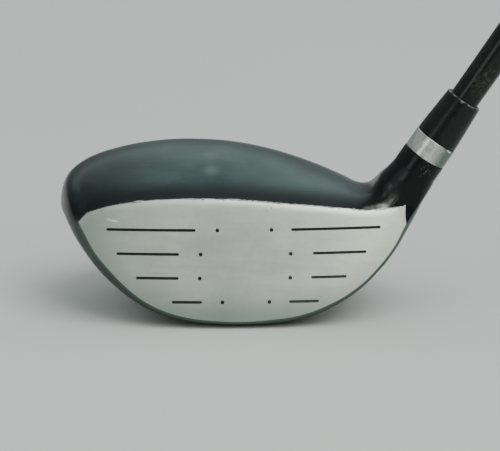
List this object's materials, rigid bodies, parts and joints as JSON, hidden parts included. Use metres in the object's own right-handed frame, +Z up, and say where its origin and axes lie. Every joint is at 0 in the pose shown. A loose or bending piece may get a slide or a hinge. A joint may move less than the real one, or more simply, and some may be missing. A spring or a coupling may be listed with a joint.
{
  "type": "fairway wood golf club",
  "caption": "Right-handed fairway wood: hollow steel head with black crown, satin scored face and silver sole, trim ring, ferrule, tapered graphite shaft and rubber grip.",
  "frame": {"origin": "the spot of the sole that rests on the ground when the club is soled at address, below the middle of the face and about 18 mm behind the leading edge", "axes": "+X towards the heel, -X towards the toe; -Y the way the face looks; +Z up; the shaft leans to +X at a lie of 55.5 degrees"},
  "size_m": [0.705, 0.0791, 0.9069],
  "materials": {
    "crown_paint": "gloss",
    "face_steel": "satin",
    "sole_steel": "satin",
    "score_enamel": "matte",
    "hosel_steel": "machined",
    "trim_ring": "satin, worn",
    "ferrule": "gloss",
    "shaft_graphite": "semi-gloss",
    "epoxy": "cured",
    "tip_brass": "turned",
    "hot_melt": "tacky",
    "weight_steel": "rough",
    "grip_tape": "crepe",
    "grip_rubber": "matte, patterned"
  },
  "bodies": {
    "root": {"head_body": "crown_paint", "face_plate": "face_steel", "sole_plate": "sole_steel", "score_line_fill": "score_enamel", "score_dot_fill": "score_enamel", "hosel_tube": "hosel_steel", "hosel_ring": "trim_ring", "ferrule": "ferrule", "shaft": "shaft_graphite", "shaft_epoxy": "epoxy", "tip_weight": "tip_brass", "rattle_pad": "hot_melt", "rear_weight": "weight_steel", "grip_tape": "grip_tape", "grip": "grip_rubber", "grip_cap": "grip_rubber"}
  },
  "joints": []
}
